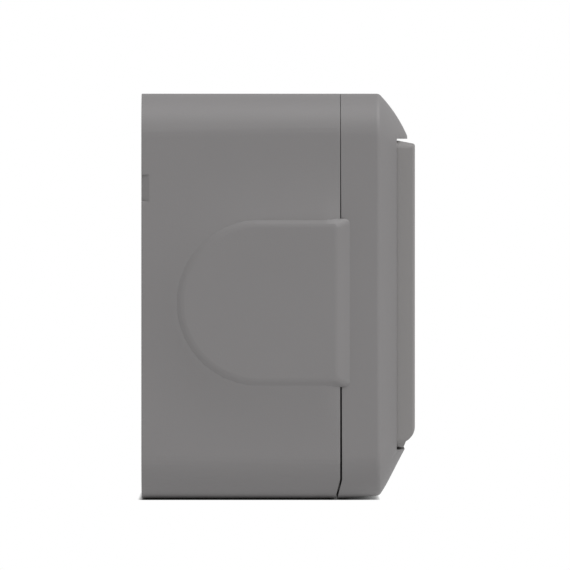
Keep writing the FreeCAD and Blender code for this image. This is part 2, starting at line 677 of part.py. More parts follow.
def rocker_plate():
    """Hollow rocker with ribs, side trunnions and a stem that ends in the drive fork."""
    shell = rocker_outside().cut(block(
        -ROCKER_INNER_HALF, ROCKER_INNER_HALF, ROCKER_BACK - CUT_ROOM, ROCKER_INNER_FRONT,
        ROCKER_INNER_FOOT, ROCKER_INNER_TOP))
    rib_back = ROCKER_INNER_FRONT - RIB_HEIGHT
    half_rib = RIB_THICK / 2
    solids = [block(-ROCKER_INNER_HALF, ROCKER_INNER_HALF, rib_back, ROCKER_INNER_FRONT,
                    -half_rib, half_rib)]
    for x in (-RIB_X, RIB_X):
        solids.append(block(x - half_rib, x + half_rib, rib_back, ROCKER_INNER_FRONT,
                            ROCKER_INNER_FOOT, ROCKER_INNER_TOP))
    solids += both_sides(rod_across(PIVOT_DEPTH, 0, TRUNNION_EAR_R, ROCKER_INNER_HALF, ROCKER_HALF))
    trunnion_end = WINDOW_HALF + TRUNNION_LENGTH - SLIDE_FIT
    solids += both_sides(rod_across(PIVOT_DEPTH, 0, TRUNNION_R, ROCKER_HALF - SLIDE_FIT, trunnion_end))

    slot_half = LEVER_PIN_R + PIN_FIT
    fork_root = PIN_DEPTH + FORK_ROOT
    fork_tip = PIN_DEPTH - FORK_TIP_BACK
    solids.append(rod_out(0, 0, STEM_R, fork_root, ROCKER_INNER_FRONT))
    for low in (slot_half, -slot_half - FORK_TINE):
        solids.append(block(-FORK_WIDTH / 2, FORK_WIDTH / 2, fork_tip, fork_root, low, low + FORK_TINE))
    return shell.fuse(solids).removeSplitter()


def support_frame():
    half_z = FRAME_FIX_Z + FRAME_EAR
    half_window = FRAME_WINDOW / 2
    plate = rounded_prism(-FRAME_HALF, FRAME_HALF, -half_z, half_z, FRAME_CORNER_R,
                          FRAME_BACK, FRAME_FRONT)
    holes = [block(-half_window, half_window, FRAME_BACK - CUT_ROOM, FRAME_FRONT + CUT_ROOM,
                   -half_window, half_window)]
    for x, z in frame_places():
        holes.append(rod_out(x, z, FRAME_SCREW_R + SLIDE_FIT, FRAME_BACK - CUT_ROOM,
                             FRAME_FRONT + CUT_ROOM))
    return plate.cut(holes)


def frame_screws():
    return Part.makeCompound([
        pan_screw(x, z, FRAME_FRONT, FRAME_SCREW_HEAD, FRAME_SCREW_HEAD_R, FRAME_SCREW_R,
                  FRAME_SCREW_BITE)
        for x, z in frame_places()])


def cam_block():
    """Shallow V that the plunger's tip is pressed into, which brings the lever to the middle."""
    valley = LEVER_DEPTH - PLUNGER_TIP - CAM_GAP
    half_z = CAM_HEIGHT / 2
    crest = valley + half_z * math.tan(math.radians(CAM_SLOPE))
    return side_prism([
        (BASE_INSIDE - CUT_ROOM, -half_z),
        (crest, -half_z),
        (valley, 0),
        (crest, half_z),
        (BASE_INSIDE - CUT_ROOM, half_z)], -CAM_WIDTH / 2, CAM_WIDTH / 2)


def mechanism_base():
    half = BASE_SIZE / 2
    inner = half - BASE_WALL
    tub = rounded_prism(-half, half, -half, half, BASE_CORNER_R, BASE_BACK, FRAME_BACK)
    tub = tub.cut(block(-inner, inner, BASE_INSIDE, FRAME_BACK + CUT_ROOM, -inner, inner))
    solids = [cam_block()]
    holes = []
    for x, z in cap_screw_places():
        solids.append(rod_out(x, z, CAP_POST_R, BASE_BACK, FRAME_BACK))
        bottom = CAP_FRONT - CAP_SCREW_BITE - CUT_ROOM
        holes.append(rod_out(x, z, CAP_SCREW_R + SCREW_FIT, bottom, CAP_FRONT))
    wire_r = WIRE_HOLE_R + SLIDE_FIT
    holes.append(rod_up(TAB_X, WIRE_DEPTH, wire_r, inner - CUT_ROOM, half + CUT_ROOM))
    holes.append(rod_up(TAB_X, WIRE_DEPTH, wire_r, -half - CUT_ROOM, CUT_ROOM - inner))
    holes.append(rod_across(WIRE_DEPTH, 0, wire_r, -half - CUT_ROOM, CUT_ROOM - inner))
    return tub.fuse(solids).cut(holes).removeSplitter()


def mechanism_cap():
    half = CAP_SIZE / 2
    tenon = FRAME_WINDOW / 2 - CAP_WINDOW_FIT
    plate = rounded_prism(-half, half, -half, half, BASE_CORNER_R, FRAME_FRONT, CAP_FRONT)
    solids = [block(-tenon, tenon, FRAME_BACK, FRAME_FRONT, -tenon, tenon)]
    ear = block(CAP_EAR_X, CAP_EAR_X + CAP_EAR_THICK, FRAME_FRONT, LEVER_DEPTH, -CAP_EAR_R, CAP_EAR_R)
    ear = ear.fuse(rod_across(LEVER_DEPTH, 0, CAP_EAR_R, CAP_EAR_X, CAP_EAR_X + CAP_EAR_THICK))
    solids += both_sides(ear)

    back = FRAME_BACK - CUT_ROOM
    front = LEVER_DEPTH + CAP_EAR_R + CUT_ROOM
    holes = [
        block(-CAP_EAR_X, CAP_EAR_X, back, front, -CAP_OPENING / 2, CAP_OPENING / 2),
        rod_across(LEVER_DEPTH, 0, LEVER_AXLE_R + PIVOT_FIT, -half, half)]
    slot_half = COMMON_EYE_R + SLIDE_FIT
    slot_edge = COMMON_X + STRIP_THICK + SLIDE_FIT
    holes.append(block(-slot_edge, SLIDE_FIT - COMMON_X, back, CAP_FRONT + CUT_ROOM, -slot_half, slot_half))
    for x, z in cap_screw_places():
        holes.append(rod_out(x, z, CAP_SCREW_R + SCREW_FIT, back, front))
    for x, z in terminal_places():
        holes.append(rod_out(x, z, DRIVER_HOLE_R, back, front))
    return plate.fuse(solids).cut(holes).removeSplitter()


def cap_screws():
    return Part.makeCompound([
        pan_screw(x, z, CAP_FRONT, CAP_SCREW_HEAD, CAP_SCREW_HEAD_R, CAP_SCREW_R, CAP_SCREW_BITE)
        for x, z in cap_screw_places()])


def contact_lever():
    """Hub on the axle, a neck and pin in the rocker's fork, and a hollow tail for the plunger."""
    pin_half = FORK_WIDTH / 2
    tail_back = LEVER_DEPTH - LEVER_TAIL_LENGTH
    bore_front = LEVER_DEPTH - PLUNGER_SEAT + SPRING_ROOM
    body = rod_across(LEVER_DEPTH, 0, LEVER_HUB_R, -HUB_HALF, HUB_HALF).fuse([
        rod_across(PIN_DEPTH, 0, LEVER_PIN_R, -pin_half, pin_half),
        block(-pin_half, pin_half, LEVER_DEPTH, PIN_DEPTH, -LEVER_NECK / 2, LEVER_NECK / 2),
        rod_out(0, 0, LEVER_TAIL_R, tail_back, LEVER_DEPTH - LEVER_TAIL_ROOT)])
    return body.cut([
        rod_across(LEVER_DEPTH, 0, LEVER_AXLE_R, -HUB_HALF - CUT_ROOM, HUB_HALF + CUT_ROOM),
        rod_out(0, 0, PLUNGER_R + PIVOT_FIT, tail_back - CUT_ROOM, bore_front)]).removeSplitter()


def lever_axle():
    reach = CAP_EAR_X + CAP_EAR_THICK
    return rod_across(LEVER_DEPTH, 0, LEVER_AXLE_R, -COMMON_X - STRIP_THICK - SLIDE_FIT, reach)


def return_plunger():
    tip_centre = LEVER_DEPTH - PLUNGER_TIP + PLUNGER_R
    stem = rod_out(0, 0, PLUNGER_R, tip_centre, LEVER_DEPTH - PLUNGER_SEAT)
    return stem.fuse(Part.makeSphere(PLUNGER_R, point(tip_centre, 0))).removeSplitter()


def return_spring():
    """Coil between the plunger's inner end and the end of the bore in the lever's tail."""
    height = SPRING_ROOM - 2 * SPRING_WIRE_R
    path = Part.makeHelix(height / SPRING_TURNS, height, SPRING_COIL_R)
    section = Part.makeCircle(SPRING_WIRE_R, FreeCAD.Vector(SPRING_COIL_R, 0, 0), FreeCAD.Vector(0, 1, 0))
    coil = Part.Wire(path.Edges).makePipeShell([Part.Wire(section)], True, True)
    coil.rotate(FreeCAD.Vector(0, 0, 0), FreeCAD.Vector(1, 0, 0), 90)
    coil.translate(point(LEVER_DEPTH - PLUNGER_SEAT + SPRING_WIRE_R, 0))
    return coil


def moving_contact():
    """Brass blade beside the lever: an eye on the axle, an arm and a tab for the contact tips."""
    outer = HUB_HALF + BLADE_THICK
    half_tab = TAB_LENGTH / 2
    blade = rod_across(LEVER_DEPTH, 0, BLADE_EYE_R, HUB_HALF, outer).fuse([
        block(HUB_HALF, outer, TAB_DEPTH - half_tab, LEVER_DEPTH, -BLADE_WIDTH / 2, BLADE_WIDTH / 2),
        block(HUB_HALF, HUB_HALF + TAB_WIDTH, TAB_DEPTH - half_tab, TAB_DEPTH + half_tab,
              -TAB_THICK / 2, TAB_THICK / 2)])
    eye_hole = rod_across(LEVER_DEPTH, 0, LEVER_AXLE_R, HUB_HALF - CUT_ROOM, outer + CUT_ROOM)
    return blade.cut(eye_hole).removeSplitter()


def moving_contact_tips():
    half = TAB_THICK / 2
    tips = [
        rod_up(TAB_X, TAB_DEPTH, TIP_R, half, TIP_FACE),
        rod_up(TAB_X, TAB_DEPTH, TIP_R, -TIP_FACE, -half)]
    inner = HUB_HALF + BLADE_THICK
    clear = block(HUB_HALF, inner, TAB_DEPTH - TAB_LENGTH, TAB_DEPTH + TAB_LENGTH, -TIP_FACE, TIP_FACE)
    return Part.makeCompound([tip.cut(clear) for tip in tips])


def fixed_contact():
    """Upper brass strip: a leg along the base's floor and a leg out beside the lever."""
    half = TAB_WIDTH / 2
    out = block(TAB_X - half, TAB_X + half, BASE_INSIDE, TAB_DEPTH + TAB_LENGTH / 2,
                STRIP_Z, STRIP_Z + STRIP_THICK)
    along = block(TAB_X - half, TAB_X + half, BASE_INSIDE, CLAMP_BACK, STRIP_Z,
                  CLAMP_OUT + CLAMP_LENGTH / 2)
    return out.fuse(along).removeSplitter()


def upside_down(solid):
    return solid.mirror(FreeCAD.Vector(0, 0, 0), FreeCAD.Vector(0, 0, 1))


def fixed_contact_tips():
    tip = rod_up(TAB_X, TAB_DEPTH, TIP_R, FIXED_FACE_Z, STRIP_Z)
    return Part.makeCompound([tip, upside_down(tip)])


def common_contact():
    """Brass strip from the common terminal to an eye round the end of the axle."""
    near = -COMMON_X
    far = near - STRIP_THICK
    half = COMMON_WIDTH / 2
    foot_end = COMMON_CLAMP_X - CLAMP_LENGTH / 2
    strip = block(far, near, BASE_INSIDE, LEVER_DEPTH, -half, half).fuse([
        block(foot_end, near, BASE_INSIDE, CLAMP_BACK, -half, half),
        rod_across(LEVER_DEPTH, 0, COMMON_EYE_R, far, near)])
    eye_hole = rod_across(
        LEVER_DEPTH, 0, LEVER_AXLE_R + PIVOT_FIT, far - CUT_ROOM, near + CUT_ROOM)
    return strip.cut(eye_hole).removeSplitter()


def terminal_clamps():
    half_w = CLAMP_WIDTH / 2
    half_l = CLAMP_LENGTH / 2
    screw_r = TERMINAL_SCREW_R + SCREW_FIT
    clamps = []
    for x, z in terminal_places():
        if z:
            body = block(x - half_w, x + half_w, CLAMP_BACK, CLAMP_FRONT, z - half_l, z + half_l)
            wire = rod_up(x, WIRE_DEPTH, WIRE_HOLE_R, z - CLAMP_LENGTH, z + CLAMP_LENGTH)
        else:
            body = block(x - half_l, x + half_l, CLAMP_BACK, CLAMP_FRONT, -half_w, half_w)
            wire = rod_across(WIRE_DEPTH, z, WIRE_HOLE_R, x - CLAMP_LENGTH, x + CLAMP_LENGTH)
        clamps.append(body.cut([wire, rod_out(x, z, screw_r, WIRE_DEPTH, CLAMP_FRONT + CUT_ROOM)]))
    return Part.makeCompound(clamps)


def terminal_screws():
    seat = CLAMP_FRONT + TERMINAL_HEAD_STAND
    return Part.makeCompound([
        pan_screw(x, z, seat, TERMINAL_HEAD, TERMINAL_HEAD_R, TERMINAL_SCREW_R, seat - WIRE_DEPTH)
        for x, z in terminal_places()])


def main():
    right_insert = entry_insert()
    right_seal = entry_seal()
    upper_strip = fixed_contact()
    pieces = {
        "rear_box": rear_box(),
        "entry_insert_right": right_insert,
        "entry_insert_left": mirrored(right_insert),
        "entry_seal_right": right_seal,
        "entry_seal_left": mirrored(right_seal),
        "fixing_seals": fixing_seals(),
        "rim_seal": rim_seal(),
        "front_cover": front_cover(),
        "stem_seal": stem_seal(),
        "cover_screws": cover_screws(),
        "cover_screw_seals": cover_screw_seals(),
        "rocker_plate": rocker_plate(),
        "support_frame": support_frame(),
        "frame_screws": frame_screws(),
        "mechanism_base": mechanism_base(),
        "mechanism_cap": mechanism_cap(),
        "cap_screws": cap_screws(),
        "contact_lever": contact_lever(),
        "lever_axle": lever_axle(),
        "return_plunger": return_plunger(),
        "return_spring": return_spring(),
        "moving_contact": moving_contact(),
        "moving_contact_tips": moving_contact_tips(),
        "upper_contact": upper_strip,
        "lower_contact": upside_down(upper_strip),
        "fixed_contact_tips": fixed_contact_tips(),
        "common_contact": common_contact(),
        "terminal_clamps": terminal_clamps(),
        "terminal_screws": terminal_screws(),
    }
    os.makedirs("parts", exist_ok=True)
    for name, shape in pieces.items():
        if not shape.isValid():
            raise ValueError(name + " is not a valid solid")
        shape.exportStep("parts/" + name + ".step")


main()
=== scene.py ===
import json
import math

import bmesh
import bpy
from bpy.props import FloatProperty, FloatVectorProperty, IntProperty, PointerProperty
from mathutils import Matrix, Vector


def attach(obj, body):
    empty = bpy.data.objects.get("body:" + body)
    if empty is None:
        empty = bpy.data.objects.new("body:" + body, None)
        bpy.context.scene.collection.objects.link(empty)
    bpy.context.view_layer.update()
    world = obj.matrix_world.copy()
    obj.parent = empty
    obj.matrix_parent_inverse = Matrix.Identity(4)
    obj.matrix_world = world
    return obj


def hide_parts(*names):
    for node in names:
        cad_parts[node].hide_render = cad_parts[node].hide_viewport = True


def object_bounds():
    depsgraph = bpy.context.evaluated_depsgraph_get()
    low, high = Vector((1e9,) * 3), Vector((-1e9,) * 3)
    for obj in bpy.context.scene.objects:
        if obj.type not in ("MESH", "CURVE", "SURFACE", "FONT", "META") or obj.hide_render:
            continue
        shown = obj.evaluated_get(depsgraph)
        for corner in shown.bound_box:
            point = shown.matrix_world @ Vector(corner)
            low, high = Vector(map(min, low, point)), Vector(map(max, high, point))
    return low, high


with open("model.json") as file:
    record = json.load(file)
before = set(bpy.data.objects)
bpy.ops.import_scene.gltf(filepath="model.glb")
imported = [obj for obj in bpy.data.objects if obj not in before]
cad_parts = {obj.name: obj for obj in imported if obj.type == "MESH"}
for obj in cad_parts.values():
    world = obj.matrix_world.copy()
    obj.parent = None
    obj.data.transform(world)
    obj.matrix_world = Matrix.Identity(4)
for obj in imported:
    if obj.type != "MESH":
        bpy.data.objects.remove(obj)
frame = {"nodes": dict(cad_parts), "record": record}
CAD_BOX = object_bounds()

bl_info = {
    "name": "Outdoor weatherproof switch",
    "version": (1, 0, 0),
    "blender": (4, 5, 0),
    "location": "View3D > Sidebar > Switch",
    "description": "Finishes the moulded box, cover, rocker, seals and mechanism of a weatherproof switch",
    "category": "Object",
}

MM = 0.001
MERGE_DISTANCE = 2e-6
SLIVER_LENGTH = 3e-5
FLAT_ANGLE = math.radians(0.3)
CREASE_ANGLE = math.radians(30)

# moulded shells: steps of an eased edge, width of the strip along a wall's edges against the ease,
# rings of an insert's rounding, width of the rocker's side that is spread against the spread
EASE_STEPS = 2
EDGE_STRIP = 2
PLATE_RINGS = 6
SPREAD_STRIP = 3

# finishes: weight of the pits in the grain's height, weight of the fine specks in the gloss and
# their mean, scale of the broad shades and of the metal's clouds, stretch of the rolling streaks
PIT_WEIGHT = 0.6
SPECK_WEIGHT = 0.35
SPECK_MEAN = 0.67
BROAD_SCALE = 70.0
CLOUD_SCALE = 240.0
STREAK_STRETCH = (1.0, 0.06, 1.0)

# screws and cord: dome against the head's height, blunt point against the core, plain end of the
# shank against its radius, steps of the round shapes, and the turn that lays a shape along the depth
DOME_SHARE = 0.5
POINT_SHARE = 0.5
PLAIN_SHARE = 0.6
DOME_RINGS = 96
THREAD_STEPS = 28
TOOTH_CORNERS = 4
CORD_STEPS = 5
ALONG_DEPTH = (math.pi / 2, 0.0, 0.0)
SCREW_ROWS = {
    "cover_screws": {"head": 2.0 * MM, "shank": 1.75 * MM},
    "frame_screws": {"head": 1.8 * MM, "shank": 1.6 * MM},
    "cap_screws": {"head": 1.4 * MM, "shank": 1.0 * MM},
    "terminal_screws": {"head": 1.5 * MM, "shank": 1.5 * MM},
}

# stage: half width of the floor, how fast the painted shade darkens its glow and the white that the camera
# sees under the switch, where the room is brighter, where the soft light comes from, the sensor in
# millimetres and how far it sees
FLOOR_REACH = 4.0
GLOW_SHADE_POWER = 2.0
SEEN_SHADE_POWER = 3.0
SHADE_SAMPLES = 8
ROOM_BRIGHT = (0.0, -0.45, 0.9)
KEY_FROM = (-0.36, -0.45, 0.82)
WHITE = (1.0, 1.0, 1.0, 1.0)
SENSOR_WIDTH = 36.0
SIGHT = 20.0

BODY_OF_NODE = {
    node: body
    for body, nodes in frame["record"]["behaviour"]["bodies"].items()
    for node in nodes
}
SLOT_OF_NODE = {row["node"]: row["material_slot"] for row in frame["record"]["subparts"]}


def length(name, description, default, low=0.0):
    """Setting for a length in metres."""
    return FloatProperty(
        name=name, description=description, default=default, min=low, unit="LENGTH", precision=6)


def share(name, description, default, high=1.0):
    """Setting for a share or a strength."""
    return FloatProperty(
        name=name, description=description, default=default, min=0.0, max=high, subtype="FACTOR")


def colour(name, description, default):
    """Setting for a colour."""
    return FloatVectorProperty(
        name=name, description=description, default=default, min=0.0, max=1.0, subtype="COLOR", size=3)


class PlasticSettings(bpy.types.PropertyGroup):
    """Colours and surface of the moulded plastics"""

    housing: colour("Housing", "Colour of box, inserts and cover", (0.150, 0.145, 0.1455))
    rocker: colour("Rocker", "Colour of the rocker", (0.174, 0.168, 0.166))
    insulator: colour("Insulator", "Colour of the mechanism's housing", (0.78, 0.77, 0.73))
    lever: colour("Lever", "Colour of the lever and plunger", (0.06, 0.06, 0.063))
    grain_size: length("Grain size", "Width of one pit of the spark-eroded surface", 0.28 * MM)
    grain_height: length("Grain height", "Height of the surface grain", 0.012 * MM)
    roughness: share("Roughness", "Mean roughness of the matte plastic", 0.56)
    mottle: share("Mottle", "How much the shade varies from place to place", 0.05)
    edge_ease: length("Edge ease", "Rounding of the moulded edges", 0.09 * MM)
    plate_foot: length("Plate foot", "Height of the inserts' edges on the swelling walls", 0.87 * MM)
    plate_slope: share("Plate slope", "Rise of the inserts' edges, as a share of the CAD's", 0.42)
    plate_dome: length("Plate dome", "Rise of the inserts' plates inside their edges", 0.12 * MM)
    plate_round: length("Plate round", "Width of the rounding inside the plates' edges", 0.8 * MM)
    rocker_spread: length("Rocker spread", "How much closer the rocker comes to the rails", 0.22 * MM)
    collar_rise: length("Collar rise", "How far the side walls swell out at the cable inserts", 1.0 * MM)
    collar_reach: length("Collar reach", "How far around the inserts the walls swell", 12.0 * MM, 1.0 * MM)
    collar_fade: length("Collar fade", "How far behind the inserts' front the swelling fades", 4.8 * MM)
    collar_grid: length("Collar grid", "Mesh width of the swelling walls", 1.2 * MM, 0.2 * MM)


class SealSettings(bpy.types.PropertyGroup):
    """Colour and section of the rubber seals"""

    rubber: colour("Rubber", "Colour of the rubber", (0.018, 0.018, 0.019))
    grain_size: length("Grain size", "Width of one speck of the rubber's bloom", 0.5 * MM)
    grain_height: length("Grain height", "Height of the rubber's grain", 0.02 * MM)
    cord_width: length("Cord width", "Width of the rim cord's section", 0.9 * MM)
    cord_round: length("Cord rounding", "Rounding of the rim cord's section", 0.4 * MM)
    bend_radius: length("Bend radius", "Bend of the rim cord round the box's corners", 6.35 * MM)
    bend_steps: IntProperty(
        name="Bend steps", description="Steps in each bend of the cord", default=20, min=4)


class ScrewSettings(bpy.types.PropertyGroup):
    """Drive and thread that all the screws share, as shares of their size"""

    recess_width: share("Recess width", "Width of the cross recess against the head's radius", 0.3)
    recess_length: share("Recess length", "Length of the cross recess against the head's width", 0.62)
    recess_depth: share("Recess depth", "Depth of the cross recess against the head's height", 0.7)
    thread_depth: share("Thread depth", "Depth of the thread against the shank's radius", 0.2)
    thread_pitch: share("Thread pitch", "Rise of one turn against the shank's radius", 0.62)
    round_steps: IntProperty(
        name="Round steps", description="Corners of the round sections", default=48, min=12)
    seed: IntProperty(name="Seed", description="Seed of the turn that each screw was left at", default=4)


class MetalSettings(bpy.types.PropertyGroup):
    """Colours of the plated and rolled metals"""

    zinc: colour("Zinc", "Colour of the zinc plating", (0.60, 0.60, 0.585))
    brass: colour("Brass", "Colour of the rolled brass", (0.72, 0.50, 0.20))
    silver: colour("Silver", "Colour of the contact tips", (0.84, 0.83, 0.80))
    streak_size: length("Streak size", "Width of one rolling streak", 0.12 * MM)
    streak_height: length("Streak height", "Height of the rolling streaks", 0.004 * MM)


class StageSettings(bpy.types.PropertyGroup):
    """Camera, light and floor"""

    distance: length("Distance", "From the camera to the middle of the switch", 3.0, 0.5)
    frame_width: length("Frame width", "Width of the picture at the near side of the switch", 105.4 * MM)
    aim_depth: length("Aim depth", "Middle of the picture in front of the wall", 26.58 * MM)
    aim_height: FloatProperty(
        name="Aim height", description="Middle of the picture above the switch's centre",
        default=2.1 * MM, unit="LENGTH", precision=6)
    eye_height: FloatProperty(
        name="Eye height", description="Height of the camera above the switch's centre",
        default=29.0 * MM, unit="LENGTH", precision=6)
    floor_colour: colour("Floor", "Colour of the pale floor", (0.2, 0.2, 0.2))
    floor_glow: share("Floor glow", "Light of the glowing floor", 0.75, 4.0)
    # the floor gap is a real gap; its darkness, and the floor's darkening round the switch, are painted
    # shade that reaches as far as the floor shade
    floor_gap: length("Floor gap", "Thin dark joint between the floor and the switch", 0.3 * MM)
    floor_shade: length("Floor shade", "How far the floor darkens round the switch", 0.9 * MM)
    floor_grain: length("Floor grain", "Width of one speck of the floor", 4.0 * MM)
    floor_height: length("Floor grain height", "Height of the floor's grain", 0.01 * MM)
    room_light: share("Room light", "Brightness of the white room around the switch", 0.64, 4.0)
    room_lean: share("Room lean", "How much brighter the room is above and in front", 0.1)
    key_light: share("Key light", "Strength of the soft light above and in front", 2.75, 10.0)
    key_angle: FloatProperty(
        name="Key angle", description="Width of the soft light as seen from the switch",
        default=math.radians(55), min=0.0, subtype="ANGLE")


def settings():
    """All settings of the switch in this scene."""
    return bpy.context.scene.weatherproof_switch


def put(tree, kind, inputs=None, **options):
    """Adds a node. An input's value is a socket to link or a plain value to set."""
    node = tree.nodes.new(kind)
    for key, value in options.items():
        setattr(node, key, value)
    for key, value in (inputs or {}).items():
        socket = node.inputs[key]
        if isinstance(value, bpy.types.NodeSocket):
            tree.links.new(value, socket)
        else:
            socket.default_value = value
    return node


def sums(tree, operation, first, second, third=None):
    """One Math node's result."""
    inputs = {0: first, 1: second}
    if third is not None:
        inputs[2] = third
    return put(tree, "ShaderNodeMath", inputs, operation=operation).outputs[0]


def sockets(tree, names, kind, in_out):
    """Adds a tree's inputs or outputs of one kind."""
    for name in names:
        tree.interface.new_socket(name, in_out=in_out, socket_type="NodeSocket" + kind)


def finish_group(name, numbers):
    """Empty shader group for a surface finish, with a colour and numbers in and a colour, a
    roughness and a height out."""
    tree = bpy.data.node_groups.new(name, "ShaderNodeTree")
    sockets(tree, ["Colour"], "Color", "INPUT")
    sockets(tree, numbers, "Float", "INPUT")
    sockets(tree, ["Colour"], "Color", "OUTPUT")
    sockets(tree, ["Roughness", "Height"], "Float", "OUTPUT")
    return tree, put(tree, "NodeGroupInput").outputs


def varied(tree, given, noise):
    """Colour that gets lighter and darker with a noise, by the group's Mottle."""
    swing = sums(tree, "SUBTRACT", noise, 0.5)
    value = sums(tree, "MULTIPLY_ADD", swing, given["Mottle"], 1.0)
    tinted = put(tree, "ShaderNodeHueSaturation", {"Value": value, "Color": given["Colour"]})
    return tinted.outputs["Color"]


def moulded_grain():
    """Fine pitted surface of moulded plastic or rubber, slightly uneven in shade and gloss."""
    tree, given = finish_group(
        "moulded_grain", ["Grain Size", "Mottle", "Roughness", "Roughness Spread"])
    place = put(tree, "ShaderNodeTexCoord").outputs["Object"]
    pitch = sums(tree, "DIVIDE", 1.0, given["Grain Size"])
    fine = put(tree, "ShaderNodeTexNoise", {
        "Vector": place, "Scale": pitch, "Detail": 2.0, "Roughness": 0.6})
    pits = put(tree, "ShaderNodeTexVoronoi", {"Vector": place, "Scale": pitch}, feature="SMOOTH_F1")
    broad = put(tree, "ShaderNodeTexNoise", {"Vector": place, "Scale": BROAD_SCALE, "Detail": 3.0})
    height = sums(tree, "MULTIPLY_ADD", pits.outputs["Distance"], PIT_WEIGHT, fine.outputs["Fac"])
    speck = sums(tree, "MULTIPLY_ADD", fine.outputs["Fac"], SPECK_WEIGHT, broad.outputs["Fac"])
    swing = sums(tree, "SUBTRACT", speck, SPECK_MEAN)
    rough = sums(tree, "MULTIPLY_ADD", swing, given["Roughness Spread"], given["Roughness"])
    put(tree, "NodeGroupOutput", {
        "Colour": varied(tree, given, broad.outputs["Fac"]),
        "Roughness": rough,
        "Height": height,
    })
    return tree


def rolled_metal():
    """Fine streaks of rolled, drawn or plated metal, with a cloudy tint."""
    tree, given = finish_group("rolled_metal", ["Streak Size", "Mottle", "Roughness", "Roughness Spread"])
    place = put(tree, "ShaderNodeTexCoord").outputs["Object"]
    drawn = put(tree, "ShaderNodeMapping", {"Vector": place, "Scale": STREAK_STRETCH})
    pitch = sums(tree, "DIVIDE", 1.0, given["Streak Size"])
    streaks = put(
        tree, "ShaderNodeTexNoise", {"Vector": drawn.outputs["Vector"], "Scale": pitch, "Detail": 3.0})
    clouds = put(tree, "ShaderNodeTexNoise", {"Vector": place, "Scale": CLOUD_SCALE, "Detail": 2.0})
    swing = sums(tree, "SUBTRACT", streaks.outputs["Fac"], 0.5)
    rough = sums(tree, "MULTIPLY_ADD", swing, given["Roughness Spread"], given["Roughness"])
    put(tree, "NodeGroupOutput", {
        "Colour": varied(tree, given, clouds.outputs["Fac"]),
        "Roughness": rough,
        "Height": streaks.outputs["Fac"],
    })
    return tree


def finish(name, group, tint, numbers, bump, metallic=0.0):
    """Material whose colour, roughness and bump come from a finish group."""
    made = bpy.data.materials.get(name + "_finish")
    if made:
        return made
    made = bpy.data.materials.new(name + "_finish")
    made.use_nodes = True
    made.diffuse_color = (*tint, 1.0)
    tree = made.node_tree
    tree.nodes.clear()
    shared = bpy.data.node_groups.get(group.__name__) or group()
    surface = put(tree, "ShaderNodeGroup", node_tree=shared)
    surface.inputs["Colour"].default_value = (*tint, 1.0)
    for key, value in numbers.items():
        surface.inputs[key].default_value = value
    relief = put(tree, "ShaderNodeBump", {
        "Strength": 1.0, "Distance": bump, "Height": surface.outputs["Height"]})
    shader = put(tree, "ShaderNodeBsdfPrincipled", {
        "Base Color": surface.outputs["Colour"],
        "Roughness": surface.outputs["Roughness"],
        "Normal": relief.outputs["Normal"],
        "Metallic": metallic,
    })
    put(tree, "ShaderNodeOutputMaterial", {"Surface": shader.outputs["BSDF"]})
    return made


def plastic(slot, tint):
    """Matte moulded plastic."""
    look = settings().plastic
    numbers = {
        "Grain Size": look.grain_size,
        "Mottle": look.mottle,
        "Roughness": look.roughness,
        "Roughness Spread": 0.16,
    }
    return finish(slot, moulded_grain, tint, numbers, look.grain_height)


def rubber():
    """Soft black rubber of all the seals."""
    look = settings().seals
    numbers = {
        "Grain Size": look.grain_size,
        "Mottle": 0.3,
        "Roughness": 0.62,
        "Roughness Spread": 0.2,
    }
    return finish("seal_rubber", moulded_grain, look.rubber, numbers, look.grain_height)


def metal(slot, tint, roughness):
    """Plated, rolled or drawn metal."""
    look = settings().metals
    numbers = {
        "Streak Size": look.streak_size,
        "Mottle": 0.14,
        "Roughness": roughness,
        "Roughness Spread": 0.22,
    }
    return finish(slot, rolled_metal, tint, numbers, look.streak_height, metallic=1.0)


def slot_material(slot):
    """Finished material of one of the record's material slots."""
    look = settings()
    makers = {
        "housing_plastic": lambda: plastic(slot, look.plastic.housing),
        "rocker_plastic": lambda: plastic(slot, look.plastic.rocker),
        "mechanism_plastic": lambda: plastic(slot, look.plastic.insulator),
        "lever_plastic": lambda: plastic(slot, look.plastic.lever),
        "seal_rubber": rubber,
        "zinc_steel": lambda: metal(slot, look.metals.zinc, 0.34),
        "contact_brass": lambda: metal(slot, look.metals.brass, 0.3),
        "contact_silver": lambda: metal(slot, look.metals.silver, 0.24),
    }
    return makers[slot]()


def paint(node):
    """Gives a CAD node that stays as it is the finished material of its slot."""
    mesh = frame["nodes"][node].data
    mesh.materials.clear()
    mesh.materials.append(slot_material(SLOT_OF_NODE[node]))


def settle(piece, *nodes):
    """Hangs a finished piece on the body of the nodes that it stands for."""
    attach(piece, BODY_OF_NODE[nodes[0]])
    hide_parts(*nodes)


def place_mesh(name, mesh):
    """New object in the scene."""
    piece = bpy.data.objects.new(name, mesh)
    bpy.context.scene.collection.objects.link(piece)
    return piece


def baked(piece):
    """Replaces a piece's mesh by what its modifiers make of it, and removes them."""
    graph = bpy.context.evaluated_depsgraph_get()
    result = bpy.data.meshes.new_from_object(
        piece.evaluated_get(graph), preserve_all_data_layers=True, depsgraph=graph)
    if not result.polygons:
        raise RuntimeError(piece.name + " came out empty")
    piece.modifiers.clear()
    piece.data = result
    result.name = piece.name
    return piece


def solid_boxes(node):
    """Corners of the box round each separate solid of a CAD node."""
    work = bmesh.new()
    work.from_mesh(frame["nodes"][node].data)
    bmesh.ops.remove_doubles(work, verts=work.verts, dist=MERGE_DISTANCE)
    left = set(work.verts)
    boxes = []
    for first in work.verts:
        if first not in left:
            continue
        left.discard(first)
        solid = [first]
        for vert in solid:
            for edge in vert.link_edges:
                other = edge.other_vert(vert)
                if other in left:
                    left.discard(other)
                    solid.append(other)
        boxes.append([
            Vector(pick(vert.co[axis] for vert in solid) for axis in range(3)) for pick in (min, max)])
    work.free()
    return boxes


